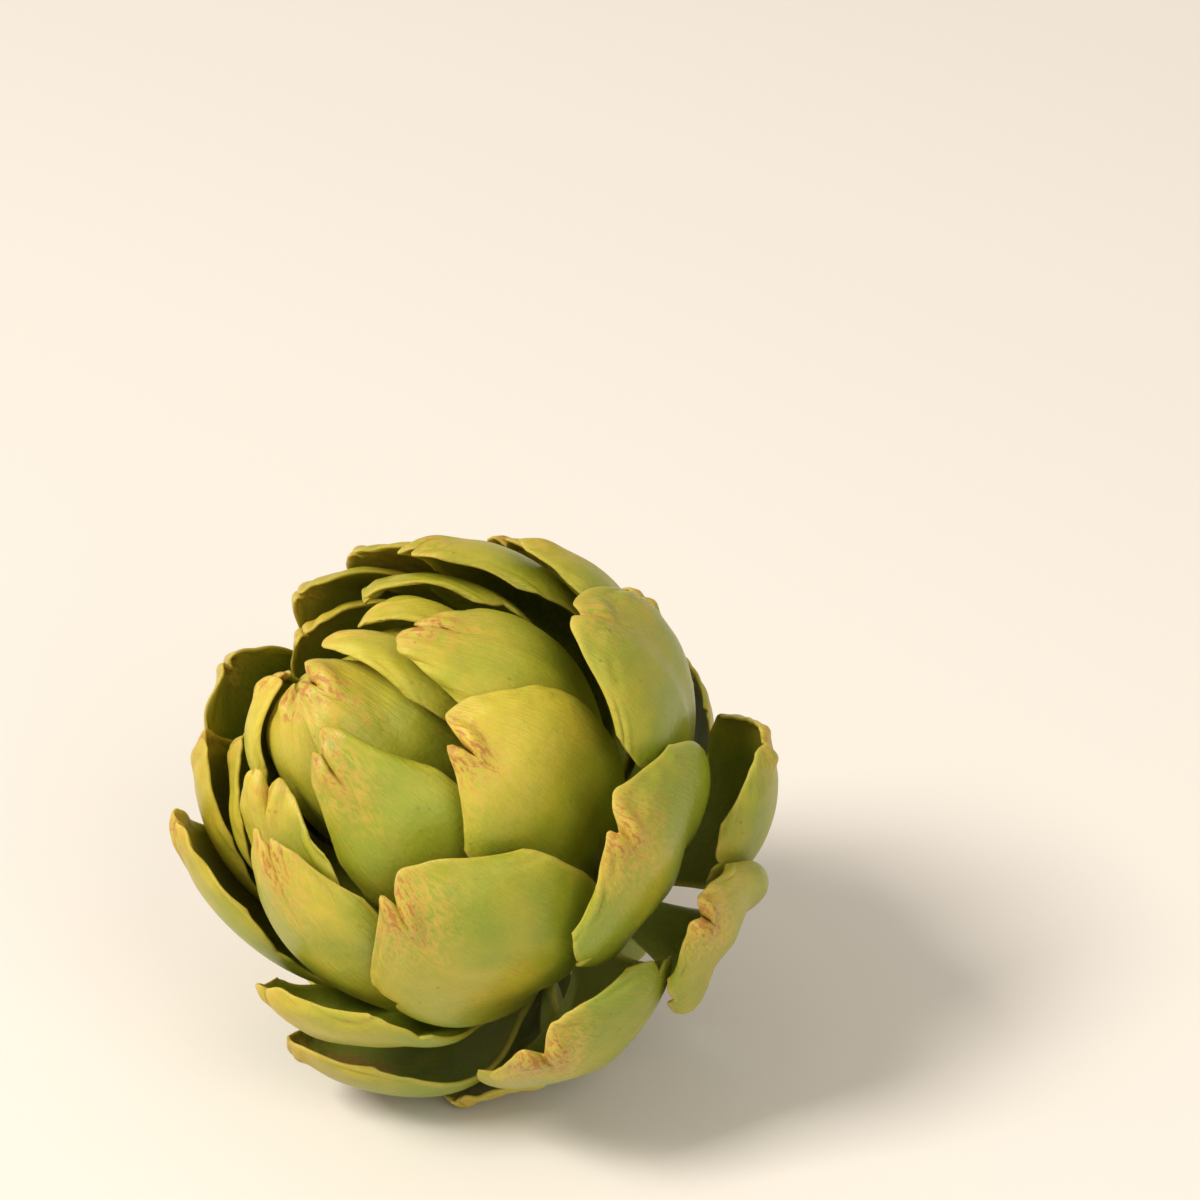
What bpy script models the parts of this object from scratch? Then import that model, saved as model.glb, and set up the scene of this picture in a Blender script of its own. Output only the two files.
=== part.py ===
"""Whole globe artichoke, lying on the backs of its lower outer bracts.

The bud is drawn in its own frame: the origin is the middle of the bud, +Z points to
the closed crown, and azimuths turn about that axis. Each bract is a cupped blade on
the receptacle. The bracts are laid from the crown outwards, and each one is lifted
clear of those it covers. The finished bud is then tilted and stood on the floor, z = 0.
"""
from math import cos, pi, radians, sin

import bmesh
import bpy
import numpy as np
from mathutils import Matrix

MM = 0.001

# How the bud lies: lean of its axis from the vertical, the compass heading of that
# lean from +X, and the roll of the bud about its own axis.
AXIS_LEAN = radians(41.2)
AXIS_HEADING = radians(200.3)
AXIS_ROLL = radians(97.3)

# Bract blades
FOOT_WIDTH = 8.0 * MM
BLADE_THICKNESS = 2.2 * MM
WIDEST_AT = 0.55            # share of the blade's length
TIP_ROUNDING = 0.22         # share of the length lost at the tip's corners
COLUMNS, ROWS = 7, 9        # points across and along one face of a blade

# Laying the bracts over each other
LAY_GAP = 1.0 * MM
LAY_CELLS = 200             # cells along each side of the height map
LAY_POINTS = 61             # test points along each side of a blade
LAY_SPREAD = 4              # cells over which a lift fades out

# Receptacle and cut stem
STEM_RADIUS = 8.0 * MM
STEM_END = -52.0 * MM
RECEPTACLE_SIDES = 24

# Depth of the flats where the lowest bracts press on the floor
FLAT_DEPTH = 0.7 * MM

# Rings of bracts on the receptacle: radius and height of the foot, the angle at which
# a blade leaves it (degrees above level), how far it runs on in that direction (share
# of the foot-to-tip distance), and the blade's colour.
RINGS = {
    "crown": (10.0, -13.5, 62.0, 0.42, (0.42, 0.40, 0.08)),
    "inner": (16.0, -21.0, 38.0, 0.42, (0.38, 0.40, 0.09)),
    "middle": (18.0, -27.0, 14.0, 0.42, (0.33, 0.37, 0.08)),
    "outer": (17.0, -34.0, -26.0, 0.50, (0.28, 0.33, 0.07)),
    "basal": (12.0, -40.0, -42.0, 0.42, (0.26, 0.30, 0.08)),
}

# Radii of the cross-section's arc at the base, belly and tip, in mm: how strongly a
# blade is cupped.
CUPS = {
    "wrapped": (12, 20, 8),
    "hooded": (12, 28, 10),
    "cupped": (14, 36, 11),
    "trough": (16, 27, 11),
    "boat": (16, 30, 13),
    "broad": (16, 40, 17),
    "open": (18, 46, 22),
}

# The bracts, from the crown outwards: ring, azimuth and tip angle from the bud's axis
# (degrees), distance of the tip from the bud's middle and width (mm), how far the tip
# stands open (degrees), and cup.
BRACTS = (
    ("crown", 172, -6, 48, 28, 0, "wrapped"),
    ("crown", -105, -3, 49, 28, 0, "wrapped"),
    ("crown", -62, 2, 49, 32, 0, "hooded"),
    ("crown", 14, 3, 50, 32, 0, "hooded"),
    ("crown", -130, 4, 49, 30, 0, "hooded"),
    ("crown", 62, 8, 50, 28, 0, "hooded"),
    ("crown", 94, 15, 52, 24, 0, "hooded"),
    ("inner", -20, 20, 52, 34, 0, "cupped"),
    ("inner", 54, 23, 54, 34, 0, "cupped"),
    ("inner", -76, 23, 51, 38, 0, "cupped"),
    ("inner", -125, 26, 51, 34, 0, "cupped"),
    ("inner", 165, 26, 51, 34, 0, "cupped"),
    ("inner", 118, 24, 51, 32, 0, "cupped"),
    ("inner", 20, 39, 54, 44, 0, "broad"),
    ("middle", 158, 30, 58, 34, 6, "trough"),
    ("middle", -126, 30, 59, 38, 6, "trough"),
    ("middle", -60, 35, 58, 38, 8, "trough"),
    ("middle", 108, 34, 58, 36, 5, "trough"),
    ("middle", -160, 31, 60, 36, 6, "trough"),
    ("middle", 142, 41, 59, 34, 10, "boat"),
    ("middle", -106, 41, 63, 40, 14, "boat"),
    ("middle", 88, 53, 60, 34, 10, "boat"),
    ("middle", -22, 53, 57, 54, 0, "broad"),
    ("middle", 58, 57, 60, 44, 4, "broad"),
    ("middle", -165, 60, 58, 36, 8, "broad"),
    ("middle", 120, 66, 57, 36, 8, "broad"),
    ("middle", 165, 78, 58, 36, 8, "broad"),
    ("middle", -132, 70, 58, 36, 8, "broad"),
    ("middle", -74, 68, 60, 44, 8, "broad"),
    ("middle", 20, 76, 60, 54, 0, "open"),
    ("middle", 104, 92, 53, 34, 0, "broad"),
    ("outer", -84, 88, 61, 42, -4, "broad"),
    ("outer", -24, 98, 60, 54, -10, "broad"),
    ("outer", 54, 104, 64, 48, 6, "trough"),
    ("outer", -70, 122, 57, 34, -2, "broad"),
    ("outer", 140, 98, 59, 38, 6, "broad"),
    ("outer", -168, 98, 60, 38, 8, "broad"),
    ("outer", -130, 104, 67.5, 38, 4, "broad"),
    ("outer", 108, 112, 57, 36, 4, "broad"),
    ("outer", 16, 104, 61, 36, -16, "boat"),
    ("basal", -90, 147, 47, 22, 0, "boat"),
    ("basal", -125, 145, 51, 24, 0, "boat"),
    ("basal", -160, 144, 48, 22, 0, "boat"),
    ("basal", -40, 148, 45, 18, 0, "boat"),
    ("basal", 100, 148, 46, 20, 0, "boat"),
    ("basal", 160, 142, 48, 22, 0, "boat"),
)


def clear_scene():
    """Remove whatever objects the file was opened with."""
    for old in list(bpy.data.objects):
        bpy.data.objects.remove(old, do_unlink=True)


def make_material(name, colour, roughness):
    """A plain Principled material, not metallic."""
    material = bpy.data.materials.new(name)
    material.use_nodes = True
    shader = material.node_tree.nodes["Principled BSDF"]
    shader.inputs["Base Color"].default_value = (*colour, 1.0)
    shader.inputs["Roughness"].default_value = roughness
    shader.inputs["Metallic"].default_value = 0.0
    return material


def bezier(points, v):
    """Places and directions at shares v of a cubic curve with four control points."""
    a, b, c, d = points
    v = v[..., None]
    place = (1 - v) ** 3 * a + 3 * v * (1 - v) ** 2 * b + 3 * v**2 * (1 - v) * c + v**3 * d
    slope = (1 - v) ** 2 * (b - a) + 2 * v * (1 - v) * (c - b) + v**2 * (d - c)
    return place, slope / np.linalg.norm(slope, axis=-1, keepdims=True)


def midrib(bract):
    """Control points (radius, height) of the line that a blade's middle follows."""
    ring, _, tip_angle, reach, _, opening, _ = bract
    foot_radius, foot_height, heel, run_on, _ = RINGS[ring]
    heel, tip_angle = radians(heel), radians(tip_angle)
    lean = pi - tip_angle - radians(opening)
    foot = np.array([foot_radius, foot_height]) * MM
    tip = reach * MM * np.array([sin(tip_angle), cos(tip_angle)])
    span = np.linalg.norm(tip - foot)
    leaves = foot + run_on * span * np.array([cos(heel), sin(heel)])
    arrives = tip - 0.42 * span * np.array([cos(lean), sin(lean)])
    return foot, leaves, arrives, tip


def blade(bract, s, v):
    """Middle surface of a blade: s is -1 to 1 across it, v is 0 to 1 from foot to tip.

    The midrib lies in the plane of the blade's azimuth. The cross-section is an arc
    that bends in towards the bud, wide at the belly and rounded off at the tip.
    """
    azimuth, width, cup = radians(bract[1]), bract[4] * MM, CUPS[bract[6]]
    along = v * (1 - TIP_ROUNDING * np.abs(s) ** 2.6)
    place, slope = bezier(midrib(bract), along)

    rise = np.sin(pi / 2 * np.clip(along / WIDEST_AT, 0, 1)) ** 1.25
    taper = np.clip((along - WIDEST_AT) / (1 - WIDEST_AT), 0, 1) ** 2.2
    half = (FOOT_WIDTH + (width - FOOT_WIDTH) * rise) / 2 - 0.45 * width / 2 * taper

    base, belly, tip = (radius * MM for radius in cup)
    lower = base + (belly - base) * np.sin(pi / 2 * np.clip(2 * along, 0, 1))
    upper = belly + (tip - belly) * np.clip(2 * along - 1, 0, 1) ** 1.6
    radius = np.where(along < 0.5, lower, upper)
    turn = s * half / radius

    outward = np.array([cos(azimuth), sin(azimuth), 0.0])
    sideways = np.array([-sin(azimuth), cos(azimuth), 0.0])
    upward = np.array([0.0, 0.0, 1.0])
    back = slope[..., 1:2] * outward - slope[..., 0:1] * upward
    points = place[..., 0:1] * outward + place[..., 1:2] * upward
    points = points + (radius * np.sin(turn))[..., None] * sideways
    return points + (radius * (np.cos(turn) - 1))[..., None] * back


def thickness(s, v):
    """Thick at the foot, thinner towards the tip and the margins."""
    return BLADE_THICKNESS * (1.25 - 0.5 * v) * (1 - 0.45 * np.abs(s) ** 3)


def map_cells(points):
    """Radius of each point, and its cell on an equal-area map of directions."""
    radius = np.linalg.norm(points, axis=-1)
    unit = points / radius[..., None]
    spread = np.sqrt(2 / (1 + unit[..., 2] + 1e-6))
    cells = (unit[..., :2] * spread[..., None] + 2) / 4 * (LAY_CELLS - 1)
    return radius, cells[..., 0], cells[..., 1]


def spread_highest(field, reach):
    """Each cell takes the highest value within reach cells of it."""
    for axis in (0, 1):
        margin = [(reach, reach) if axis == side else (0, 0) for side in (0, 1)]
        padded = np.pad(field, margin, constant_values=0.0)
        length = field.shape[axis]
        slices = [np.take(padded, range(k, k + length), axis=axis) for k in range(2 * reach + 1)]
        field = np.max(slices, axis=0)
    return field


def smooth(field, reach):
    """Each cell takes the average of those within reach cells of it."""
    for axis in (0, 1):
        margin = [(reach, reach) if axis == side else (0, 0) for side in (0, 1)]
        padded = np.pad(field, margin, mode="edge")
        length = field.shape[axis]
        slices = [np.take(padded, range(k, k + length), axis=axis) for k in range(2 * reach + 1)]
        field = np.mean(slices, axis=0)
    return field


def lay_bracts():
    """How far each blade is lifted off those under it, as a grid over the blade."""
    height = np.zeros((LAY_CELLS, LAY_CELLS))
    across, along = np.linspace(-1, 1, LAY_POINTS), np.linspace(0, 1, LAY_POINTS)
    s, v = np.meshgrid(across, along)
    half = thickness(s, v) / 2
    lifts = []
    for bract in BRACTS:
        radius, column, row = map_cells(blade(bract, s, v))
        below = spread_highest(height, 1)[column.astype(int), row.astype(int)]
        need = np.maximum(0, below + LAY_GAP + half - radius)
        need = smooth(spread_highest(need, LAY_SPREAD), LAY_SPREAD)
        lifts.append(need)
        top = radius + need + half
        np.maximum.at(height, (column.astype(int), row.astype(int)), top)
        np.maximum.at(height, (np.ceil(column).astype(int), np.ceil(row).astype(int)), top)
    return lifts


def read_grid(grid, s, v):
    """Value of a grid over a blade at (s, v), between its points in proportion."""
    last = len(grid) - 1
    row = np.clip(v * last, 0, last - 1e-6)
    column = np.clip((s + 1) / 2 * last, 0, last - 1e-6)
    i, j = row.astype(int), column.astype(int)
    p, q = row - i, column - j
    near = grid[i, j] * (1 - q) + grid[i, j + 1] * q
    far = grid[i + 1, j] * (1 - q) + grid[i + 1, j + 1] * q
    return near * (1 - p) + far * p


def bract_faces(bract, lift):
    """Outer and inner faces of a laid blade, as grids of points in the bud's frame."""
    s, v = np.meshgrid(np.linspace(-1, 1, COLUMNS), np.linspace(0, 1, ROWS))
    middle = blade(bract, s, v)
    radius = np.linalg.norm(middle, axis=-1, keepdims=True)
    middle = middle * (1 + read_grid(lift, s, v)[..., None] / radius)
    along, across = np.gradient(middle, axis=0), np.gradient(middle, axis=1)
    normal = np.cross(across, along)
    normal /= np.linalg.norm(normal, axis=-1, keepdims=True)
    offset = normal * thickness(s, v)[..., None] / 2
    return middle + offset, middle - offset


def bud_rotation():
    """Turn from the bud's frame to the world's."""
    heading = Matrix.Rotation(AXIS_HEADING, 3, "Z")
    lean = Matrix.Rotation(AXIS_LEAN, 3, "Y")
    roll = Matrix.Rotation(AXIS_ROLL, 3, "Z")
    return np.array(heading @ lean @ roll)


def resting_place(faces, rotation):
    """Where the bud's middle lies: over the origin by its box, pressed on the floor."""
    points = np.concatenate([np.concatenate(pair).reshape(-1, 3) for pair in faces]) @ rotation.T
    low, high = points.min(axis=0), points.max(axis=0)
    return np.array([-(low[0] + high[0]) / 2, -(low[1] + high[1]) / 2, -low[2] - FLAT_DEPTH])


def receptacle_outline():
    """Radius and height down the receptacle and its stem, from the top dish."""
    profile = (
        (4.0, -17.2), (9.4, -18.4), (14.6, -21.2), (17.1, -27.0), (16.1, -33.8), (11.1, -39.4),
        (8.6, -42.5),
    )
    points = [(radius * MM, height * MM) for radius, height in profile]
    return points + [(STEM_RADIUS, -46.0 * MM), (STEM_RADIUS, STEM_END)]


def place_in_world(points, rotation, shift):
    """Tilt points of the bud's frame and move them to where the bud lies."""
    return points @ rotation.T + shift


def closed_blade(name, outer, inner, material):
    """One closed solid from the outer and inner faces of a blade."""
    bm = bmesh.new()
    sheets = []
    for face in (outer, inner):
        sheets.append([[bm.verts.new(point) for point in line] for line in face])
    front, rear = sheets
    for i in range(ROWS - 1):
        for j in range(COLUMNS - 1):
            bm.faces.new((front[i][j], front[i][j + 1], front[i + 1][j + 1], front[i + 1][j]))
            bm.faces.new((rear[i][j], rear[i + 1][j], rear[i + 1][j + 1], rear[i][j + 1]))
    rim = [(0, j) for j in range(COLUMNS)] + [(i, COLUMNS - 1) for i in range(1, ROWS)]
    rim += [(ROWS - 1, j) for j in reversed(range(COLUMNS - 1))]
    rim += [(i, 0) for i in reversed(range(1, ROWS - 1))]
    for (i, j), (k, m) in zip(rim, rim[1:] + rim[:1]):
        bm.faces.new((front[i][j], rear[i][j], rear[k][m], front[k][m]))
    bmesh.ops.triangulate(bm, faces=bm.faces)
    bmesh.ops.recalc_face_normals(bm, faces=bm.faces)
    return finish_object(name, bm, material)


def turned_receptacle(outline, rotation, shift, material):
    """The receptacle and its stem: an outline turned about the bud's axis."""
    bm = bmesh.new()
    angles = [2 * pi * k / RECEPTACLE_SIDES for k in range(RECEPTACLE_SIDES)]
    rings = []
    for radius, height in outline:
        circle = np.array([(radius * cos(a), radius * sin(a), height) for a in angles])
        rings.append([bm.verts.new(p) for p in place_in_world(circle, rotation, shift)])
    for upper, lower in zip(rings, rings[1:]):
        bmesh.ops.bridge_loops(bm, edges=ring_edges(bm, upper) + ring_edges(bm, lower))
    bm.faces.new(rings[0])
    bm.faces.new(rings[-1])
    bmesh.ops.triangulate(bm, faces=bm.faces)
    bmesh.ops.recalc_face_normals(bm, faces=bm.faces)
    return finish_object("receptacle_and_stem", bm, material)


def ring_edges(bm, ring):
    """The closed loop of edges through a ring of vertices."""
    edges = []
    for a, b in zip(ring, ring[1:] + ring[:1]):
        edges.append(bm.edges.get((a, b)) or bm.edges.new((a, b)))
    return edges


def finish_object(name, bm, material):
    """Turn a bmesh into a smooth-shaded object of the scene."""
    mesh = bpy.data.meshes.new(name)
    bm.to_mesh(mesh)
    bm.free()
    mesh.shade_smooth()
    mesh.materials.append(material)
    piece = bpy.data.objects.new(name, mesh)
    bpy.context.collection.objects.link(piece)
    return piece


def floor_cutter():
    """A slab under the floor that takes the flats off the lowest bracts."""
    bm = bmesh.new()
    bmesh.ops.create_cube(bm, size=1.0)
    bmesh.ops.scale(bm, vec=(0.3, 0.3, 0.02), verts=bm.verts)
    bmesh.ops.translate(bm, vec=(0.0, 0.0, -0.01), verts=bm.verts)
    mesh = bpy.data.meshes.new("floor_cutter")
    bm.to_mesh(mesh)
    bm.free()
    cutter = bpy.data.objects.new("floor_cutter", mesh)
    bpy.context.collection.objects.link(cutter)
    cutter.hide_render = True
    cutter.display_type = "WIRE"
    return cutter


def rest_on_floor(piece, cutter):
    """Cut a small flat where a bract is pressed on the floor."""
    press = piece.modifiers.new("floor_flat", "BOOLEAN")
    press.operation = "DIFFERENCE"
    press.object = cutter


def build():
    """Build every piece of the artichoke."""
    clear_scene()
    rotation = bud_rotation()
    faces = [bract_faces(bract, lift) for bract, lift in zip(BRACTS, lay_bracts())]
    shift = resting_place(faces, rotation)

    materials = {}
    for ring, (_, _, _, _, colour) in RINGS.items():
        materials[ring] = make_material(f"{ring} bract flesh", colour, 0.45)
    cutter = floor_cutter()
    counts = dict.fromkeys(RINGS, 0)
    for bract, (outer, inner) in zip(BRACTS, faces):
        ring = bract[0]
        counts[ring] += 1
        outer = place_in_world(outer, rotation, shift)
        inner = place_in_world(inner, rotation, shift)
        piece = closed_blade(f"{ring}_bract_{counts[ring]}", outer, inner, materials[ring])
        if outer[..., 2].min() < 0:
            rest_on_floor(piece, cutter)

    stem = make_material("receptacle flesh", (0.45, 0.47, 0.20), 0.55)
    turned_receptacle(receptacle_outline(), rotation, shift, stem)


build()
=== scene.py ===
from math import cos, pi, radians, sin

import bpy
import numpy as np
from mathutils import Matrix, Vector


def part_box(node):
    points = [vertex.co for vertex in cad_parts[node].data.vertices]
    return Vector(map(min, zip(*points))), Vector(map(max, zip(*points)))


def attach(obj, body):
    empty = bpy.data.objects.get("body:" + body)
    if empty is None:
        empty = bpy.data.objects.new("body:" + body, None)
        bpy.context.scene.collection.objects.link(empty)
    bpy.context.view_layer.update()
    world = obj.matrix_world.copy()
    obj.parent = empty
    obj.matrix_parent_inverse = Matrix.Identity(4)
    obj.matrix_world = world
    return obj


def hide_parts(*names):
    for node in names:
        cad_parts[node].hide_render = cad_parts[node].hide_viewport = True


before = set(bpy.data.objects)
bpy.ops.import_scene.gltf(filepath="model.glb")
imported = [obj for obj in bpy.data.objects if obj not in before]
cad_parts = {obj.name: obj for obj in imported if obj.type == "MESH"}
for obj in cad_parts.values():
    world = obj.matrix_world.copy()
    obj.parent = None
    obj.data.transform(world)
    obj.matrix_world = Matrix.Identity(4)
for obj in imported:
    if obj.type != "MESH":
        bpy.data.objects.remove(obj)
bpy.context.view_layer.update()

# ---------------------------------------------------------------- crown bracts
# The closed crown: young bracts wrapped tightly round each other, thin at the
# edge and pale. Each bract is one leaf, grown on the fleshy receptacle.

MM = 0.001
AXIS_LEAN = radians(41.2)         # how far the bud's axis leans from the vertical
AXIS_HEADING = radians(200.3)     # which way it leans
AXIS_ROLL = radians(97.3)         # turn of the bud about its own axis
FOOT_WIDTH = 8.0 * MM
BLADE_THICKNESS = 2.2 * MM
WIDEST_AT = 0.55                  # share of the length where the belly is broadest
TIP_ROUNDING = 0.22               # how much shorter the blade is at its margins
CORNER_POWER = 2.6                # how late the tip's corners start to round off
SWELL_POWER, TAPER_POWER = 1.25, 2.2
TIP_NARROWING = 0.45              # share of the width lost at the tip
FLATTENING_POWER = 1.6            # how late the cross-section opens towards the tip
ARRIVAL = 0.42                    # share of the span that steers the tip's direction
ROLL_STARTS = 0.6                 # share of the half-width where a margin starts to roll
ROLL_BACK, ROLL_ASIDE = 0.8, 0.6
FOOT_THICKNESS, LENGTH_THINNING = 1.25, 0.5
MARGIN_THINNING = 0.45
LAY_GAP = 1.0 * MM
LAY_CELLS = 200
LAY_POINTS = 61
LAY_SPREAD = 4
FEET = {
    "crown": (10.0, -13.5, 62.0, 0.42),
    "inner": (16.0, -21.0, 38.0, 0.42),
    "middle": (18.0, -27.0, 14.0, 0.42),
    "outer": (17.0, -34.0, -26.0, 0.50),
    "basal": (12.0, -40.0, -42.0, 0.42),
}
CUPS = {
    "wrapped": (12, 20, 8),
    "hooded": (12, 28, 10),
    "cupped": (14, 36, 11),
    "trough": (16, 27, 11),
    "boat": (16, 30, 13),
    "broad": (16, 40, 17),
    "open": (18, 46, 22),
}
ACROSS, ALONG = 57, 85            # points across and along each face of a blade
MARGIN_CROWDING, TIP_CROWDING = 1.25, 1.3
STEEP_SIDE, GENTLE_SIDE = 2.2, 0.8
TOOTH_STEP = 0.012                # share of the length over which a tooth steps in
RIM_THICKNESS = 0.30 * MM
RIM_WIDTH, RIM_SHADE_WIDTH = 0.07, 0.09
TIP_THINNING = 0.35
NOSE_AT, LOBE_AT, CRINKLE_AT = 0.945, 0.95, 0.96
CREASE_DEPTH = 0.9 * MM
WAVE_SIZE, WAVE_HEIGHT = 30.0, 0.8 * MM
CRINKLE_SIZE, CRINKLE_HEIGHT = 6.0, 0.55 * MM
KEEL_HEIGHT, KEEL_WIDTH = 0.5 * MM, 0.16
BLADE_LENGTH_MM = 62.0            # length of a middling blade, for the skin's own map
WAVE_LENGTH_MM = 60.0
MAP_UNIT_MM = 100.0
CAD_ACROSS, CAD_ALONG = 7, 9


def bezier(points, v):
    """A cubic curve through its first and last control point: places and directions at v."""
    a, b, c, d = points
    v = v[..., None]
    place = (1 - v) ** 3 * a + 3 * v * (1 - v) ** 2 * b + 3 * v**2 * (1 - v) * c + v**3 * d
    slope = (1 - v) ** 2 * (b - a) + 2 * v * (1 - v) * (c - b) + v**2 * (d - c)
    return place, slope / np.linalg.norm(slope, axis=-1, keepdims=True)


def midrib(bract):
    """Control points, as radius and height, of the line down the middle of a blade.

    It leaves the foot at the ring's heel angle and reaches the tip along the circle
    about the bud's middle, stood open by the bract's opening.
    """
    ring, _, tip_angle, reach, _, opening, _ = bract
    foot_radius, foot_height, heel, run_on = FEET[ring]
    heel, tip_angle = radians(heel), radians(tip_angle)
    lean = pi - tip_angle - radians(opening)
    foot = np.array([foot_radius, foot_height]) * MM
    tip = reach * MM * np.array([sin(tip_angle), cos(tip_angle)])
    span = np.linalg.norm(tip - foot)
    leaves = foot + run_on * span * np.array([cos(heel), sin(heel)])
    arrives = tip - ARRIVAL * span * np.array([cos(lean), sin(lean)])
    return foot, leaves, arrives, tip


def blade(bract, s, v, roll=0.0):
    """Middle surface of a blade: s from -1 to 1 across it, v from 0 at the foot to 1.

    A point is the midrib's place at v, turned s half-widths round an arc that bends in
    towards the bud. The half-width swells to the belly and narrows to the tip, the
    tip's corners are rounded off, and roll curls the margins in further.
    """
    azimuth, width, cup = radians(bract[1]), bract[4] * MM, CUPS[bract[6]]
    along = v * (1 - TIP_ROUNDING * np.abs(s) ** CORNER_POWER)
    place, slope = bezier(midrib(bract), along)

    rise = np.sin(pi / 2 * np.clip(along / WIDEST_AT, 0, 1)) ** SWELL_POWER
    taper = np.clip((along - WIDEST_AT) / (1 - WIDEST_AT), 0, 1) ** TAPER_POWER
    half = (FOOT_WIDTH + (width - FOOT_WIDTH) * rise) / 2 - TIP_NARROWING * width / 2 * taper

    base, belly, tip = (radius * MM for radius in cup)
    lower = base + (belly - base) * np.sin(pi / 2 * np.clip(2 * along, 0, 1))
    upper = belly + (tip - belly) * np.clip(2 * along - 1, 0, 1) ** FLATTENING_POWER
    radius = np.where(along < 0.5, lower, upper)
    turn = s * half / radius

    outward = np.array([cos(azimuth), sin(azimuth), 0.0])
    sideways = np.array([-sin(azimuth), cos(azimuth), 0.0])
    upward = np.array([0.0, 0.0, 1.0])
    back = slope[..., 1:2] * outward - slope[..., 0:1] * upward
    points = place[..., 0:1] * outward + place[..., 1:2] * upward
    points = points + (radius * np.sin(turn))[..., None] * sideways
    points = points + (radius * (np.cos(turn) - 1))[..., None] * back
    curl = roll * np.clip((np.abs(s) - ROLL_STARTS) / (1 - ROLL_STARTS), 0, 1) ** 2
    aside = np.sign(s)[..., None] * sideways
    return points - curl[..., None] * (back * ROLL_BACK + aside * ROLL_ASIDE)


def thickness(s, v):
    """Thick at the foot, thinner towards the tip and the margins."""
    along = FOOT_THICKNESS - LENGTH_THINNING * v
    return BLADE_THICKNESS * along * (1 - MARGIN_THINNING * np.abs(s) ** 3)


def normals(points):
    """Unit normals of a grid of points, pointing out of the bud."""
    along, across = np.gradient(points, axis=0), np.gradient(points, axis=1)
    normal = np.cross(across, along)
    return normal / (np.linalg.norm(normal, axis=-1, keepdims=True) + 1e-12)


def map_cells(points):
    """Radius of each point, and its cell on an equal-area map of directions."""
    radius = np.linalg.norm(points, axis=-1)
    unit = points / radius[..., None]
    spread = np.sqrt(2 / (1 + unit[..., 2] + 1e-6))
    cells = (unit[..., :2] * spread[..., None] + 2) / 4 * (LAY_CELLS - 1)
    return radius, cells[..., 0], cells[..., 1]


def over_neighbours(field, reach, combine, **padding):
    """Each cell takes the highest or the average value within reach cells of it."""
    for axis in (0, 1):
        margin = [(reach, reach) if axis == side else (0, 0) for side in (0, 1)]
        padded = np.pad(field, margin, **padding)
        length = field.shape[axis]
        slices = [np.take(padded, range(k, k + length), axis=axis) for k in range(2 * reach + 1)]
        field = combine(slices, axis=0)
    return field


bud_height = np.zeros((LAY_CELLS, LAY_CELLS))


def lay(bract):
    """How far a blade is lifted off the bracts laid before it, as a grid over the blade.

    Wherever it would pass through what is already there, it is moved straight out from
    the bud's middle. The lift is widened and evened out, then added to the height map.
    """
    s, v = np.meshgrid(np.linspace(-1, 1, LAY_POINTS), np.linspace(0, 1, LAY_POINTS))
    half = thickness(s, v) / 2
    radius, column, row = map_cells(blade(bract, s, v))
    highest = over_neighbours(bud_height, 1, np.max, mode="constant")
    below = highest[column.astype(int), row.astype(int)]
    need = np.maximum(0, below + LAY_GAP + half - radius)
    need = over_neighbours(need, LAY_SPREAD, np.max, mode="constant")
    need = over_neighbours(need, LAY_SPREAD, np.mean, mode="edge")
    top = radius + need + half
    np.maximum.at(bud_height, (column.astype(int), row.astype(int)), top)
    np.maximum.at(bud_height, (np.ceil(column).astype(int), np.ceil(row).astype(int)), top)
    return need


def read_grid(grid, s, v):
    """Value of a grid over a blade at (s, v), between its points in proportion."""
    last = len(grid) - 1
    row = np.clip(v * last, 0, last - 1e-6)
    column = np.clip((s + 1) / 2 * last, 0, last - 1e-6)
    i, j = row.astype(int), column.astype(int)
    p, q = row - i, column - j
    near = grid[i, j] * (1 - q) + grid[i, j + 1] * q
    far = grid[i + 1, j] * (1 - q) + grid[i + 1, j + 1] * q
    return near * (1 - p) + far * p


def turn_about(axis, angle):
    """Matrix that turns by an angle about Z or Y."""
    c, s = cos(angle), sin(angle)
    if axis == "Z":
        return np.array([[c, -s, 0.0], [s, c, 0.0], [0.0, 0.0, 1.0]])
    return np.array([[c, 0.0, s], [0.0, 1.0, 0.0], [-s, 0.0, c]])


bud_turn = turn_about("Z", AXIS_HEADING) @ turn_about("Y", AXIS_LEAN) @ turn_about("Z", AXIS_ROLL)


def bud_middle(bract, node):
    """Where the bud's middle lies: the CAD box of a blade less the same blade's own corner."""
    s, v = np.meshgrid(np.linspace(-1, 1, CAD_ACROSS), np.linspace(0, 1, CAD_ALONG))
    middle = blade(bract, s, v)
    offset = normals(middle) * thickness(s, v)[..., None] / 2
    corner = (np.concatenate([middle + offset, middle - offset]) @ bud_turn.T).min(axis=(0, 1))
    return np.array(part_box(node)[0]) - corner


def hills(s, v, rng, size, height):
    """A smooth, uneven swelling: the average of a few waves in random directions."""
    total = np.zeros_like(s)
    for _ in range(5):
        angle, phase = rng.uniform(0, pi), rng.uniform(0, 2 * pi)
        pace = rng.uniform(0.6, 1.4) * 2 * pi / size
        total += np.sin(pace * (s * cos(angle) + v * sin(angle)) + phase)
    return total * height / 5


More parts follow.
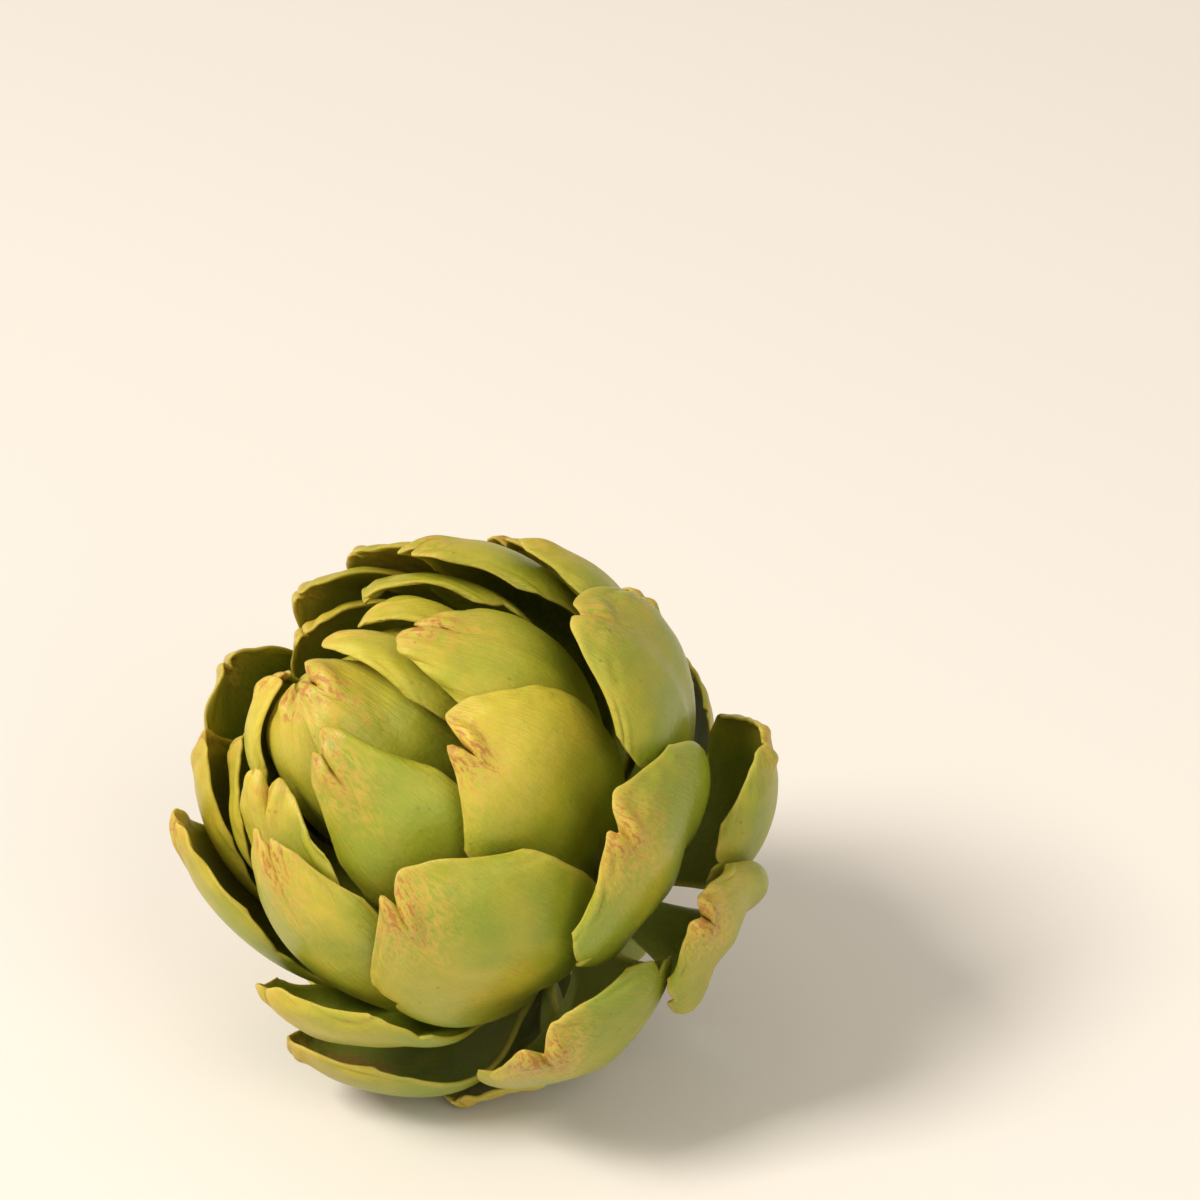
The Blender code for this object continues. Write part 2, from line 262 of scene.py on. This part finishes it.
def blade_form(bract, look, rng):
    """Outer and inner face of a finished blade, with what its surface shows there.

    The notch in the tip and the teeth in the margins move the grid's own s and v: the
    notch falls steeply on one side and gently on the other. The surface is then lifted,
    swollen beside the notch, creased, waved, and given a thickness that rounds off at
    the rim.
    """
    edge_steps = np.linspace(-1, 1, ACROSS)
    s0 = np.sign(edge_steps) * (1 - (1 - np.abs(edge_steps)) ** MARGIN_CROWDING)
    v0 = 1 - (1 - np.linspace(0, 1, ALONG)) ** TIP_CROWDING
    s, v = np.meshgrid(s0, v0)
    notch_at, notch_depth, notch_width = look["notch"]
    steep_side = look["steep"]
    falls = np.where((s - notch_at) * steep_side > 0, STEEP_SIDE, GENTLE_SIDE)
    away = (s - notch_at) / notch_width * falls
    notch = notch_depth * np.exp(-np.abs(away) ** 1.2)
    uneven = 0.007 * np.sin(5.0 * s + rng.uniform(0, 6))
    uneven = uneven + 0.003 * np.sin(14 * s + rng.uniform(0, 6))
    v_cut = v * (1 - notch - (uneven + look["skew"] * s) * v**6)
    s_cut = s.copy()
    for side, at, depth, run in look["teeth"]:
        above = np.clip((v - at) / run, 0, 1)
        bite = np.clip((v - at) / TOOTH_STEP, 0, 1) * (1 - above) ** 1.5
        s_cut = s_cut - side * depth * bite * np.clip(s * side, 0, 1) ** 4
    waver = 0.014 * np.sin(9 * v + rng.uniform(0, 6))
    waver = waver + 0.006 * np.sin(23 * v + rng.uniform(0, 6))
    s_cut = s_cut * (1 - (waver + 0.014) * np.clip(2 * v, 0, 1))

    middle = blade(bract, s_cut, v_cut, look["roll"] * MM * np.clip(v * 2, 0, 1))
    radius = np.linalg.norm(middle, axis=-1, keepdims=True)
    lift = read_grid(look["lift"], np.clip(s_cut, -1, 1), np.clip(v_cut, 0, 1))
    middle = middle * (1 + lift[..., None] / radius)

    nose_side = (s - notch_at + 1.3 * steep_side * notch_width) / (1.2 * notch_width)
    nose = look["swell"] * MM * np.exp(-(nose_side**2) - ((v - NOSE_AT) / 0.05) ** 2)
    lobe_side = (s - notch_at - 1.1 * steep_side * notch_width) / notch_width
    lobe = 0.6 * look["swell"] * MM * np.exp(-(lobe_side**2) - ((v - LOBE_AT) / 0.045) ** 2)
    in_crease = np.exp(-(((s - notch_at) / (0.45 * notch_width)) ** 2))
    crease = -CREASE_DEPTH * in_crease * np.clip((v - 0.8) / 0.2, 0, 1)
    bend = -look["tuck"] * MM * np.clip((v - 0.75) / 0.25, 0, 1) ** 2
    across_mm = s * bract[4] / 2
    swelling_mm = v * WAVE_LENGTH_MM
    mid_length = np.sin(pi * np.clip(v, 0, 1))
    wave = hills(across_mm, swelling_mm, rng, WAVE_SIZE, WAVE_HEIGHT) * mid_length**0.5
    crinkle = hills(across_mm, swelling_mm, rng, CRINKLE_SIZE, CRINKLE_HEIGHT)
    crinkle = crinkle * np.exp(-(((v - CRINKLE_AT) / 0.08) ** 2))
    keel = KEEL_HEIGHT * np.exp(-((s / KEEL_WIDTH) ** 2)) * mid_length
    normal = normals(middle)
    middle = middle + normal * (nose + lobe + crease + bend + wave + crinkle + keel)[..., None]

    normal = normals(middle)
    margin = np.minimum(1 - np.abs(s), (1 - v) * 2.4)
    rounding = np.sqrt(np.clip(1 - (1 - np.clip(margin / RIM_WIDTH, 0, 1)) ** 2, 0, 1))
    fleshy = thickness(s, v) * (1 - TIP_THINNING * v**2)
    half = (RIM_THICKNESS + (fleshy - RIM_THICKNESS) * rounding) / 2
    offset = normal * half[..., None]
    along_mm = v * BLADE_LENGTH_MM
    from_notch = ((1 - v) / 0.17) ** 1.6 + np.abs((s - notch_at) / 0.48) ** 1.8
    facts = {
        "bronze": look["bronze"] * np.exp(-from_notch),
        "margin": 1 - np.clip(margin / RIM_SHADE_WIDTH, 0, 1),
        "length": v,
        "blotch": look["blotch"] * np.exp(-(((s + 0.2) / 0.3) ** 2) - ((v - 0.72) / 0.12) ** 2),
    }
    return middle + offset, middle - offset, across_mm, along_mm, facts


def shell_quads(rows, columns):
    """Faces of a closed shell: the outer grid, the inner grid turned over, and the rim."""
    index = np.arange(rows * columns).reshape(rows, columns)
    quad_corners = [index[:-1, :-1], index[:-1, 1:], index[1:, 1:], index[1:, :-1]]
    outer = np.stack(quad_corners, -1).reshape(-1, 4)
    inner = outer[:, ::-1] + rows * columns
    rim = np.concatenate([index[0, :], index[1:, -1], index[-1, -2::-1], index[-2:0:-1, 0]])
    nearby = np.roll(rim, -1)
    band = np.stack([rim, rim + rows * columns, nearby + rows * columns, nearby], -1)
    return np.concatenate([outer, inner, band])


blade_quads = shell_quads(ALONG, ACROSS)


def finished_mesh(name, points, quads, uv, facts, material):
    """A mesh object from points, faces, a map in units of 100 mm, and named point values."""
    mesh = bpy.data.meshes.new(name)
    mesh.from_pydata(points.tolist(), [], quads.tolist())
    layer = mesh.uv_layers.new(name="blade")
    corners = np.empty(len(mesh.loops), dtype=np.int32)
    mesh.loops.foreach_get("vertex_index", corners)
    layer.data.foreach_set("uv", uv[corners].astype(np.float32).ravel())
    for fact, values in facts.items():
        attribute = mesh.attributes.new(fact, "FLOAT", "POINT")
        attribute.data.foreach_set("value", values.astype(np.float32))
    mesh.materials.append(material)
    mesh.shade_smooth()
    piece = bpy.data.objects.new(name, mesh)
    bpy.context.scene.collection.objects.link(piece)
    return piece


def linear(code):
    """Linear colour from an sRGB hex code."""
    values = np.array([int(code[i : i + 2], 16) / 255 for i in (1, 3, 5)])
    return (*np.where(values <= 0.04045, values / 12.92, ((values + 0.055) / 1.055) ** 2.4), 1.0)


def add(tree, kind, inputs=None, **settings):
    """Add a node: inputs are values or other nodes' outputs, settings are its own fields."""
    node = tree.nodes.new(kind)
    for key, value in settings.items():
        setattr(node, key, value)
    for key, value in (inputs or {}).items():
        if isinstance(value, bpy.types.NodeSocket):
            tree.links.new(value, node.inputs[key])
        else:
            node.inputs[key].default_value = value
    return node


CLOUD_SCALE = 34.0                # clouds about 30 mm across
MOTTLE_SCALE = 210.0              # mottling about 5 mm across
SPECK_SCALE = 380.0               # one speck cell every 2.6 mm
GRAIN_SCALE = 900.0               # grain about 1 mm, coarse enough to show
VEIN_SPACING = 0.013              # 1.3 mm, in the map's units of 100 mm
SCATTER_DEPTHS = (0.0035, 0.0030, 0.0008)


def bract_flesh(name, green, yellow, pale, bronze, streak_and_shade, gloss):
    """Fresh bract skin: a thin waxy cuticle on leathery green flesh.

    The eye sees olive green that turns yellow towards the tip in soft clouds, ochre
    fibres and fine veins 1.3 mm apart that follow the blade, a pale rim that is partly
    the margin's own colour and partly painted light shining through the thin edge,
    orange-brown scars below the notch, scattered dark specks, and a broad satin sheen.
    The inner face is darkened as painted shade, for the shaded hollow of the bud.
    """
    material = bpy.data.materials.new(name)
    material.use_nodes = True
    tree = material.node_tree
    shader = tree.nodes["Principled BSDF"]

    place = add(tree, "ShaderNodeUVMap", uv_map="blade").outputs["UV"]
    length = add(tree, "ShaderNodeAttribute", attribute_name="length").outputs["Fac"]
    scar = add(tree, "ShaderNodeAttribute", attribute_name="bronze").outputs["Fac"]
    rim = add(tree, "ShaderNodeAttribute", attribute_name="margin").outputs["Fac"]
    blotch = add(tree, "ShaderNodeAttribute", attribute_name="blotch").outputs["Fac"]
    tone = add(tree, "ShaderNodeAttribute", attribute_name="tone").outputs["Fac"]
    inside = add(tree, "ShaderNodeAttribute", attribute_name="inside").outputs["Fac"]
    body = add(tree, "ShaderNodeTexCoord").outputs["Object"]

    def noise(vector, scale, detail, stretch=(1, 1, 1)):
        mapped = add(tree, "ShaderNodeMapping", {"Vector": vector, "Scale": stretch}).outputs[0]
        settings = {"Vector": mapped, "Scale": scale, "Detail": detail, "Roughness": 0.6}
        return add(tree, "ShaderNodeTexNoise", settings).outputs[0]

    def ramp(value, low, high, to_low=0.0, to_high=1.0):
        settings = {0: value, 1: low, 2: high, 3: to_low, 4: to_high}
        return add(tree, "ShaderNodeMapRange", settings).outputs[0]

    def blend(share, first, second, kind="MIX"):
        node = add(tree, "ShaderNodeMix", data_type="RGBA", blend_type=kind)
        for socket, value in ((0, share), (6, first), (7, second)):
            if isinstance(value, bpy.types.NodeSocket):
                tree.links.new(value, node.inputs[socket])
            else:
                node.inputs[socket].default_value = value
        return node.outputs[2]

    def calculate(operation, first, second):
        return add(tree, "ShaderNodeMath", {0: first, 1: second}, operation=operation).outputs[0]

    clouds = noise(body, CLOUD_SCALE, 3.0)
    fibres = noise(place, 60.0, 5.0, (3.2, 0.30, 1.0))
    threads = noise(place, 170.0, 3.0, (2.6, 0.16, 1.0))
    mottle = noise(body, MOTTLE_SCALE, 4.0)

    towards_tip = ramp(length, 0.2, 1.0, -0.2, 0.6)
    yellowing = calculate("ADD", towards_tip, ramp(clouds, 0.34, 0.66, -0.55, 0.50))
    yellowing = calculate("ADD", yellowing, tone)
    colour = blend(ramp(yellowing, 0.0, 1.0), linear(green), linear(yellow))
    colour = blend(ramp(length, 0.40, 0.0, 0.0, 0.75), colour, linear(pale))
    colour = blend(ramp(mottle, 0.40, 0.70, 0.0, 0.35), colour, linear(green))
    ochre_patches = ramp(noise(body, 60.0, 2.0), 0.42, 0.62)
    ochre = calculate("MULTIPLY", ramp(fibres, 0.50, 0.72), ochre_patches)
    colour = blend(calculate("MULTIPLY", ochre, 0.60), colour, linear("#b58a2c"))
    colour = blend(ramp(threads, 0.55, 0.72, 0.0, 0.22), colour, linear(streak_and_shade))
    # Painted shade: the inner face, which looks into the bud's shaded hollow, is darkened by up
    # to 30% towards the dark streak colour.
    colour = blend(ramp(inside, 0.0, 1.0, 0.0, 0.30), colour, linear(streak_and_shade))

    mask = noise(place, 75.0, 7.0, (1.3, 0.8, 1.0))
    scarring = calculate("MULTIPLY", scar, ramp(mask, 0.42, 0.58, 0.15, 1.4))
    colour = blend(ramp(scarring, 0.06, 0.50, 0.0, 0.60), colour, linear("#cfa648"))
    colour = blend(ramp(scarring, 0.50, 1.05, 0.0, 0.70), colour, linear(bronze))
    # The pale rim is partly the thin margin's own paler colour and partly painted light: the
    # brightness of light shining through the thin edge.
    rimming = calculate("MULTIPLY", rim, ramp(noise(body, 120.0, 3.0), 0.3, 0.7, 0.45, 1.0))
    colour = blend(ramp(rimming, 0.25, 0.95, 0.0, 0.65), colour, linear("#c9b24d"))
    bruise = calculate("MULTIPLY", blotch, ramp(noise(place, 70.0, 6.0), 0.38, 0.60, 0.1, 1.2))
    colour = blend(ramp(bruise, 0.15, 0.9, 0.0, 0.75), colour, linear("#a4603c"))
    speck_cells = {"Vector": body, "Scale": SPECK_SCALE, "Randomness": 1.0}
    specks = add(tree, "ShaderNodeTexVoronoi", speck_cells).outputs[0]
    sparse = ramp(noise(body, 80.0, 2.0), 0.52, 0.66)
    dots = calculate("MULTIPLY", ramp(specks, 0.19, 0.10), sparse)
    colour = blend(calculate("MULTIPLY", dots, 0.45), colour, linear("#6d5a1c"))
    tree.links.new(colour, shader.inputs["Base Color"])

    rough = ramp(clouds, 0.3, 0.7, gloss - 0.05, gloss + 0.07)
    rough = calculate("ADD", rough, ramp(scarring, 0.1, 0.8, 0.0, 0.12))
    tree.links.new(rough, shader.inputs["Roughness"])

    across = add(tree, "ShaderNodeSeparateXYZ", {0: place}).outputs[0]
    vein_turns = calculate("MULTIPLY", across, 2 * pi / VEIN_SPACING)
    veins = add(tree, "ShaderNodeMath", {0: vein_turns}, operation="SINE").outputs[0]
    relief = calculate("MULTIPLY", veins, ramp(fibres, 0.4, 0.7, 0.0, 0.22))
    relief = calculate("ADD", relief, calculate("MULTIPLY", threads, 0.9))
    relief = calculate("ADD", relief, calculate("MULTIPLY", mottle, 1.3))
    relief = calculate("ADD", relief, calculate("MULTIPLY", noise(body, GRAIN_SCALE, 2.0), 0.4))
    bump_settings = {"Height": relief, "Strength": 0.50, "Distance": 0.0004}
    bump = add(tree, "ShaderNodeBump", bump_settings).outputs[0]
    tree.links.new(bump, shader.inputs["Normal"])
    shader.inputs["IOR"].default_value = 1.45
    shader.inputs["Subsurface Weight"].default_value = 0.12
    shader.inputs["Subsurface Radius"].default_value = SCATTER_DEPTHS
    shader.inputs["Subsurface Scale"].default_value = 1.0
    return material


def grow(ring, bracts, looks, material):
    """Lay a ring's bracts over what is there, and finish each as a piece of its own.

    Every bract draws its own notch, tooth, bronze and tone, and looks holds what is
    fixed for the bracts whose tips are known.
    """
    for number, bract in enumerate(bracts, start=1):
        node = f"{ring}_bract_{number}"
        rng = np.random.default_rng(hash_number(node))
        look = {
            "notch": (rng.uniform(-0.2, 0.2), rng.uniform(0.03, 0.06), rng.uniform(0.08, 0.12)),
            "steep": rng.choice([-1, 1]),
            "skew": rng.uniform(-0.05, 0.05),
            "teeth": [
                (rng.choice([-1, 1]), rng.uniform(0.62, 0.80), rng.uniform(0.06, 0.11), 0.14)
            ],
            "roll": 0.8,
            "swell": 1.2,
            "tuck": 1.0,
            "bronze": rng.uniform(0.4, 0.9),
            "blotch": 0.0,
            "tone": rng.uniform(-0.15, 0.15),
        }
        look.update(looks.get(number, {}))
        look["lift"] = lay(bract)
        outer, inner, across, along, facts = blade_form(bract, look, rng)
        points = np.concatenate([outer.reshape(-1, 3), inner.reshape(-1, 3)])
        points = points @ bud_turn.T + middle_of_bud
        points[:, 2] = np.maximum(points[:, 2], 0.0)
        map_mm = np.stack([np.tile(across.ravel(), 2), np.tile(along.ravel(), 2)], -1)
        uv = (map_mm + (bract[1], 0)) / MAP_UNIT_MM
        values = {key: np.tile(value.ravel(), 2) for key, value in facts.items()}
        values["tone"] = np.full(len(points), look["tone"])
        values["inside"] = np.repeat([0.0, 1.0], len(points) // 2)
        piece = finished_mesh(f"{node}_leaf", points, blade_quads, uv, values, material)
        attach(piece, "root")
        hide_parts(node)


def hash_number(text):
    """A steady number from a name, for its random draws."""
    total = 7
    for letter in text:
        total = (total * 31 + ord(letter)) % 100003
    return total


crown_bracts = (
    ("crown", 172, -6, 48, 28, 0, "wrapped"),
    ("crown", -105, -3, 49, 28, 0, "wrapped"),
    ("crown", -62, 2, 49, 32, 0, "hooded"),
    ("crown", 14, 3, 50, 32, 0, "hooded"),
    ("crown", -130, 4, 49, 30, 0, "hooded"),
    ("crown", 62, 8, 50, 28, 0, "hooded"),
    ("crown", 94, 15, 52, 24, 0, "hooded"),
)
middle_of_bud = bud_middle(crown_bracts[0], "crown_bract_1")
crown_looks = {
    3: {"notch": (0.1, 0.05, 0.14), "tuck": 0.5, "bronze": 0.9},
    4: {"notch": (-0.2, 0.06, 0.12), "tuck": 0.5, "bronze": 1.1},
    6: {"notch": (0.2, 0.05, 0.12), "tuck": 0.5},
}
crown_flesh = bract_flesh(
    "young bract skin", "#9ea22a", "#c9ba3a", "#c2be5a", "#a26026", "#787f1c", 0.32
)
grow("crown", crown_bracts, crown_looks, crown_flesh)

# ---------------------------------------------------------------- inner bracts
# The first whorl round the crown: cupped leaves that lie close on it, overlapping
# like tiles. Their tips are notched and turn yellow.

inner_bracts = (
    ("inner", -20, 20, 52, 34, 0, "cupped"),
    ("inner", 54, 23, 54, 34, 0, "cupped"),
    ("inner", -76, 23, 51, 38, 0, "cupped"),
    ("inner", -125, 26, 51, 34, 0, "cupped"),
    ("inner", 165, 26, 51, 34, 0, "cupped"),
    ("inner", 118, 24, 51, 32, 0, "cupped"),
    ("inner", 20, 39, 54, 44, 0, "broad"),
)
inner_looks = {
    1: {"notch": (-0.1, 0.05, 0.10), "bronze": 0.9, "tone": -0.05},
    2: {"notch": (0.15, 0.06, 0.12), "bronze": 1.0, "tone": -0.05},
    7: {
        "notch": (-0.20, 0.085, 0.09), "steep": -1, "swell": 2.0, "bronze": 1.1, "tone": 0.2,
        "teeth": [(-1, 0.60, 0.14, 0.14)], "skew": -0.07,
    },
}
inner_flesh = bract_flesh(
    "inner bract skin", "#929c26", "#c6b636", "#bab956", "#9e5c24", "#6b761a", 0.31
)
grow("inner", inner_bracts, inner_looks, inner_flesh)

# --------------------------------------------------------------- middle bracts
# The broad, stiff leaves that make up most of the bud. They are fully grown, so
# veins show, and their notched tips are scarred bronze.

middle_bracts = (
    ("middle", 158, 30, 58, 34, 6, "trough"),
    ("middle", -126, 30, 59, 38, 6, "trough"),
    ("middle", -60, 35, 58, 38, 8, "trough"),
    ("middle", 108, 34, 58, 36, 5, "trough"),
    ("middle", -160, 31, 60, 36, 6, "trough"),
    ("middle", 142, 41, 59, 34, 10, "boat"),
    ("middle", -106, 41, 63, 40, 14, "boat"),
    ("middle", 88, 53, 60, 34, 10, "boat"),
    ("middle", -22, 53, 57, 54, 0, "broad"),
    ("middle", 58, 57, 60, 44, 4, "broad"),
    ("middle", -165, 60, 58, 36, 8, "broad"),
    ("middle", 120, 66, 57, 36, 8, "broad"),
    ("middle", 165, 78, 58, 36, 8, "broad"),
    ("middle", -132, 70, 58, 36, 8, "broad"),
    ("middle", -74, 68, 60, 44, 8, "broad"),
    ("middle", 20, 76, 60, 54, 0, "open"),
    ("middle", 104, 92, 53, 34, 0, "broad"),
)
middle_looks = {
    3: {"notch": (0.1, 0.05, 0.10), "bronze": 1.0, "tone": 0.05},
    9: {
        "notch": (-0.24, 0.085, 0.08), "steep": -1, "swell": 2.2, "bronze": 1.1, "tone": 0.15,
        "teeth": [(-1, 0.70, 0.12, 0.12)], "skew": -0.03,
    },
    10: {"notch": (0.2, 0.05, 0.14), "teeth": [(-1, 0.70, 0.10, 0.12)], "tone": -0.05},
    15: {"notch": (-0.1, 0.06, 0.14), "blotch": 1.2, "tone": 0.0},
    16: {
        "notch": (-0.16, 0.075, 0.09), "steep": -1, "swell": 2.0, "bronze": 1.0, "tone": 0.0,
        "teeth": [(-1, 0.62, 0.14, 0.10)], "skew": -0.06,
    },
}
middle_flesh = bract_flesh(
    "middle bract skin", "#8a9726", "#c2b034", "#b4b656", "#9c5a24", "#626e1a", 0.31
)
grow("middle", middle_bracts, middle_looks, middle_flesh)

# ---------------------------------------------------------------- outer bracts
# The oldest of the large leaves: stiff, leathery green flesh, strongly cupped and stood
# open, with margins that roll in. Each grows on the receptacle's rim, and the lowest
# ones carry the bud.

outer_bracts = (
    ("outer", -84, 88, 61, 42, -4, "broad"),
    ("outer", -24, 98, 60, 54, -10, "broad"),
    ("outer", 54, 104, 64, 48, 6, "trough"),
    ("outer", -70, 122, 57, 34, -2, "broad"),
    ("outer", 140, 98, 59, 38, 6, "broad"),
    ("outer", -168, 98, 60, 38, 8, "broad"),
    ("outer", -130, 104, 67.5, 38, 4, "broad"),
    ("outer", 108, 112, 57, 36, 4, "broad"),
    ("outer", 16, 104, 61, 36, -16, "boat"),
)
outer_looks = {
    1: {"notch": (-0.1, 0.08, 0.14), "roll": 1.4, "blotch": 1.1, "bronze": 1.0},
    2: {
        "notch": (-0.15, 0.11, 0.13), "steep": -1, "swell": 2.4, "bronze": 1.3, "tone": -0.1,
        "roll": 1.6, "teeth": [(1, 0.74, 0.10, 0.12)],
    },
    3: {"notch": (0.1, 0.06, 0.14), "roll": 1.6, "tone": -0.15},
    9: {
        "notch": (-0.05, 0.08, 0.14), "steep": 1, "swell": 2.2, "bronze": 1.2, "tone": -0.05,
        "roll": 2.0,
    },
}
outer_flesh = bract_flesh(
    "outer bract skin", "#839026", "#b8a834", "#abb05a", "#965624", "#5c681c", 0.33
)
grow("outer", outer_bracts, outer_looks, outer_flesh)

# ---------------------------------------------------------------- basal bracts
# Small, thick leaves, the first that the bud grew, duller green than the rest. They
# grow round the top of the stem, and two of them help to carry the bud.

basal_bracts = (
    ("basal", -90, 147, 47, 22, 0, "boat"),
    ("basal", -125, 145, 51, 24, 0, "boat"),
    ("basal", -160, 144, 48, 22, 0, "boat"),
    ("basal", -40, 148, 45, 18, 0, "boat"),
    ("basal", 100, 148, 46, 20, 0, "boat"),
    ("basal", 160, 142, 48, 22, 0, "boat"),
)
basal_flesh = bract_flesh(
    "basal bract skin", "#7c8728", "#ada034", "#a6a852", "#925029", "#58611c", 0.38
)
grow("basal", basal_bracts, {}, basal_flesh)

# --------------------------------------------------------- receptacle and stem
# The fleshy base that every bract grows on, in one piece with the short stem it was
# cut by. The skin is ribbed and pale green, and the cut has dried.

STEM_PROFILE = (
    (0.0, -17.2), (4.0, -17.2), (9.4, -18.4), (14.6, -21.2), (17.1, -27.0), (16.1, -33.8),
    (11.1, -39.4), (8.6, -42.5), (8.0, -46.0), (8.0, -51.4), (7.4, -52.0), (6.6, -51.8),
    (3.2, -51.2), (0.0, -51.3),
)
STEM_ROUND, STEM_STEPS = 144, 120
STEM_SEED = 11
RIBS, RIB_HEIGHT = 11, 0.22 * MM
RIBS_START, RIBS_FADE = 38.0 * MM, 6.0 * MM
SKIN_HILL_SIZE, SKIN_HILL_HEIGHT = 5.0, 0.12 * MM
STEM_RADIUS_MM = 8.0


def turned_stem():
    """Receptacle and stem: a profile turned about the bud's axis, then ribbed.

    The radius is the profile's, plus shallow ribs down the stem as a wave of the turn
    and low hills all over. The cut end is sunk in the middle, where the pith has dried.
    """
    profile = np.array(STEM_PROFILE) * MM
    steps = np.concatenate([[0], np.cumsum(np.linalg.norm(np.diff(profile, axis=0), axis=1))])
    places = np.linspace(0, steps[-1], STEM_STEPS)
    radius = np.interp(places, steps, profile[:, 0])
    height = np.interp(places, steps, profile[:, 1])
    round_steps = np.linspace(0, 2 * pi, STEM_ROUND, endpoint=False)
    turn, step = np.meshgrid(round_steps, np.arange(STEM_STEPS))
    rng = np.random.default_rng(STEM_SEED)
    on_stem = np.clip((-height[step] - RIBS_START) / RIBS_FADE, 0, 1)
    ribs = RIB_HEIGHT * np.abs(np.sin(RIBS * turn / 2)) ** 0.7 * on_stem
    round_mm = STEM_RADIUS_MM * np.cos(turn)
    down_mm = STEM_RADIUS_MM * np.sin(turn) + step * 0.35
    rough = hills(round_mm, down_mm, rng, SKIN_HILL_SIZE, SKIN_HILL_HEIGHT)
    off_axis = np.clip(radius[step] / (4 * MM), 0, 1)
    wide = radius[step] + (ribs - RIB_HEIGHT * on_stem + rough) * off_axis
    points = np.stack([wide * np.cos(turn), wide * np.sin(turn), height[step]], -1)
    facts = {
        "bronze": 0.9 * np.clip((-height[step] / MM - 50.6) / 0.8, 0, 1),
        "margin": np.zeros_like(turn),
        "length": 0.35 + 0 * turn,
        "blotch": np.zeros_like(turn),
        "tone": -0.1 + 0 * turn,
        "inside": np.zeros_like(turn),
    }
    return points, turn * STEM_RADIUS_MM, height[step] / MM, facts


def tube_quads(rows, columns):
    """Faces of a grid closed round its columns."""
    index = np.arange(rows * columns).reshape(rows, columns)
    beside = np.roll(index, -1, axis=1)
    return np.stack([index[1:], beside[1:], beside[:-1], index[:-1]], -1).reshape(-1, 4)


# Fresh stem skin: the same waxy cuticle, paler and duller, browned where it was cut.
stem_flesh = bract_flesh(
    "stem skin", "#8f9a4a", "#aaa95c", "#a9ad6a", "#8f6a3a", "#6c7436", 0.5
)
stem_points, stem_across, stem_along, stem_facts = turned_stem()
stem_uv = np.stack([stem_across.ravel(), stem_along.ravel()], -1) / MAP_UNIT_MM
stem_values = {key: value.ravel() for key, value in stem_facts.items()}
stem_quads = tube_quads(STEM_STEPS, STEM_ROUND)
placed = stem_points.reshape(-1, 3) @ bud_turn.T + middle_of_bud
placed[:, 2] = np.maximum(placed[:, 2], 0.0)
stem = finished_mesh(
    "receptacle_and_stem_skin", placed, stem_quads, stem_uv, stem_values, stem_flesh
)
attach(stem, "root")
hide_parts("receptacle_and_stem")

# --------------------------------------------------------------- floor and light
# A plain pale table, one large soft light from the upper left, a weak one from the
# front right to fill the shade, and pale surroundings.

floor_mesh = bpy.data.meshes.new("table_top")
FLOOR_REACH = 4.0
UNDER_FEET = -0.0001
sides = ((-1, -1), (1, -1), (1, 1), (-1, 1))
corners = [(x * FLOOR_REACH, y * FLOOR_REACH, UNDER_FEET) for x, y in sides]
floor_mesh.from_pydata(corners, [], [(0, 1, 2, 3)])
floor = bpy.data.objects.new("table_top", floor_mesh)
bpy.context.scene.collection.objects.link(floor)
paint = bpy.data.materials.new("pale table paint")
paint.use_nodes = True
paint.node_tree.nodes["Principled BSDF"].inputs["Base Color"].default_value = linear("#e2ded6")
paint.node_tree.nodes["Principled BSDF"].inputs["Roughness"].default_value = 0.75
floor_mesh.materials.append(paint)

world = bpy.data.worlds.new("pale room")
world.use_nodes = True
world.node_tree.nodes["Background"].inputs["Color"].default_value = linear("#fff4e8")
world.node_tree.nodes["Background"].inputs["Strength"].default_value = 0.54
bpy.context.scene.world = world


def soft_light(name, place, aim, size, power, colour):
    """A square area light at a place, aimed at a point."""
    lamp = bpy.data.lights.new(name, "AREA")
    lamp.size = size
    lamp.energy = power
    lamp.color = linear(colour)[:3]
    holder = bpy.data.objects.new(name, lamp)
    bpy.context.scene.collection.objects.link(holder)
    holder.location = place
    holder.rotation_euler = (Vector(aim) - Vector(place)).to_track_quat("-Z", "Y").to_euler()


LIT_PLACE = (0, 0, 0.05)
soft_light("window_light", (-1.55, -0.75, 2.0), LIT_PLACE, 0.9, 68.0, "#fff8f2")
soft_light("fill_light", (0.9, -1.6, 1.4), LIT_PLACE, 1.2, 14.0, "#fffcf8")
bpy.context.scene.view_settings.view_transform = "Standard"

# ---------------------------------------------------------------------- camera
# A long lens about a metre away, level, looking down at 30 degrees. The bud stands low
# and left of the middle of the picture.

CAMERA_TILT = radians(30.0)
CAMERA_DISTANCE = 1.0204
LENS, SENSOR = 150.0, 36.0
LOOK_RIGHT, LOOK_UP = 0.0255, 0.0429
to_camera = np.array([0.0, -cos(CAMERA_TILT), sin(CAMERA_TILT)])
picture_up = np.array([0.0, sin(CAMERA_TILT), cos(CAMERA_TILT)])
picture_right = np.array([1.0, 0.0, 0.0])
lens = bpy.data.cameras.new("camera")
lens.lens = LENS
lens.sensor_width = SENSOR
camera = bpy.data.objects.new("camera", lens)
bpy.context.scene.collection.objects.link(camera)
aim = middle_of_bud + LOOK_RIGHT * picture_right + LOOK_UP * picture_up
camera.location = aim + CAMERA_DISTANCE * to_camera
camera.rotation_euler = (pi / 2 - CAMERA_TILT, 0.0, 0.0)
bpy.context.scene.camera = camera
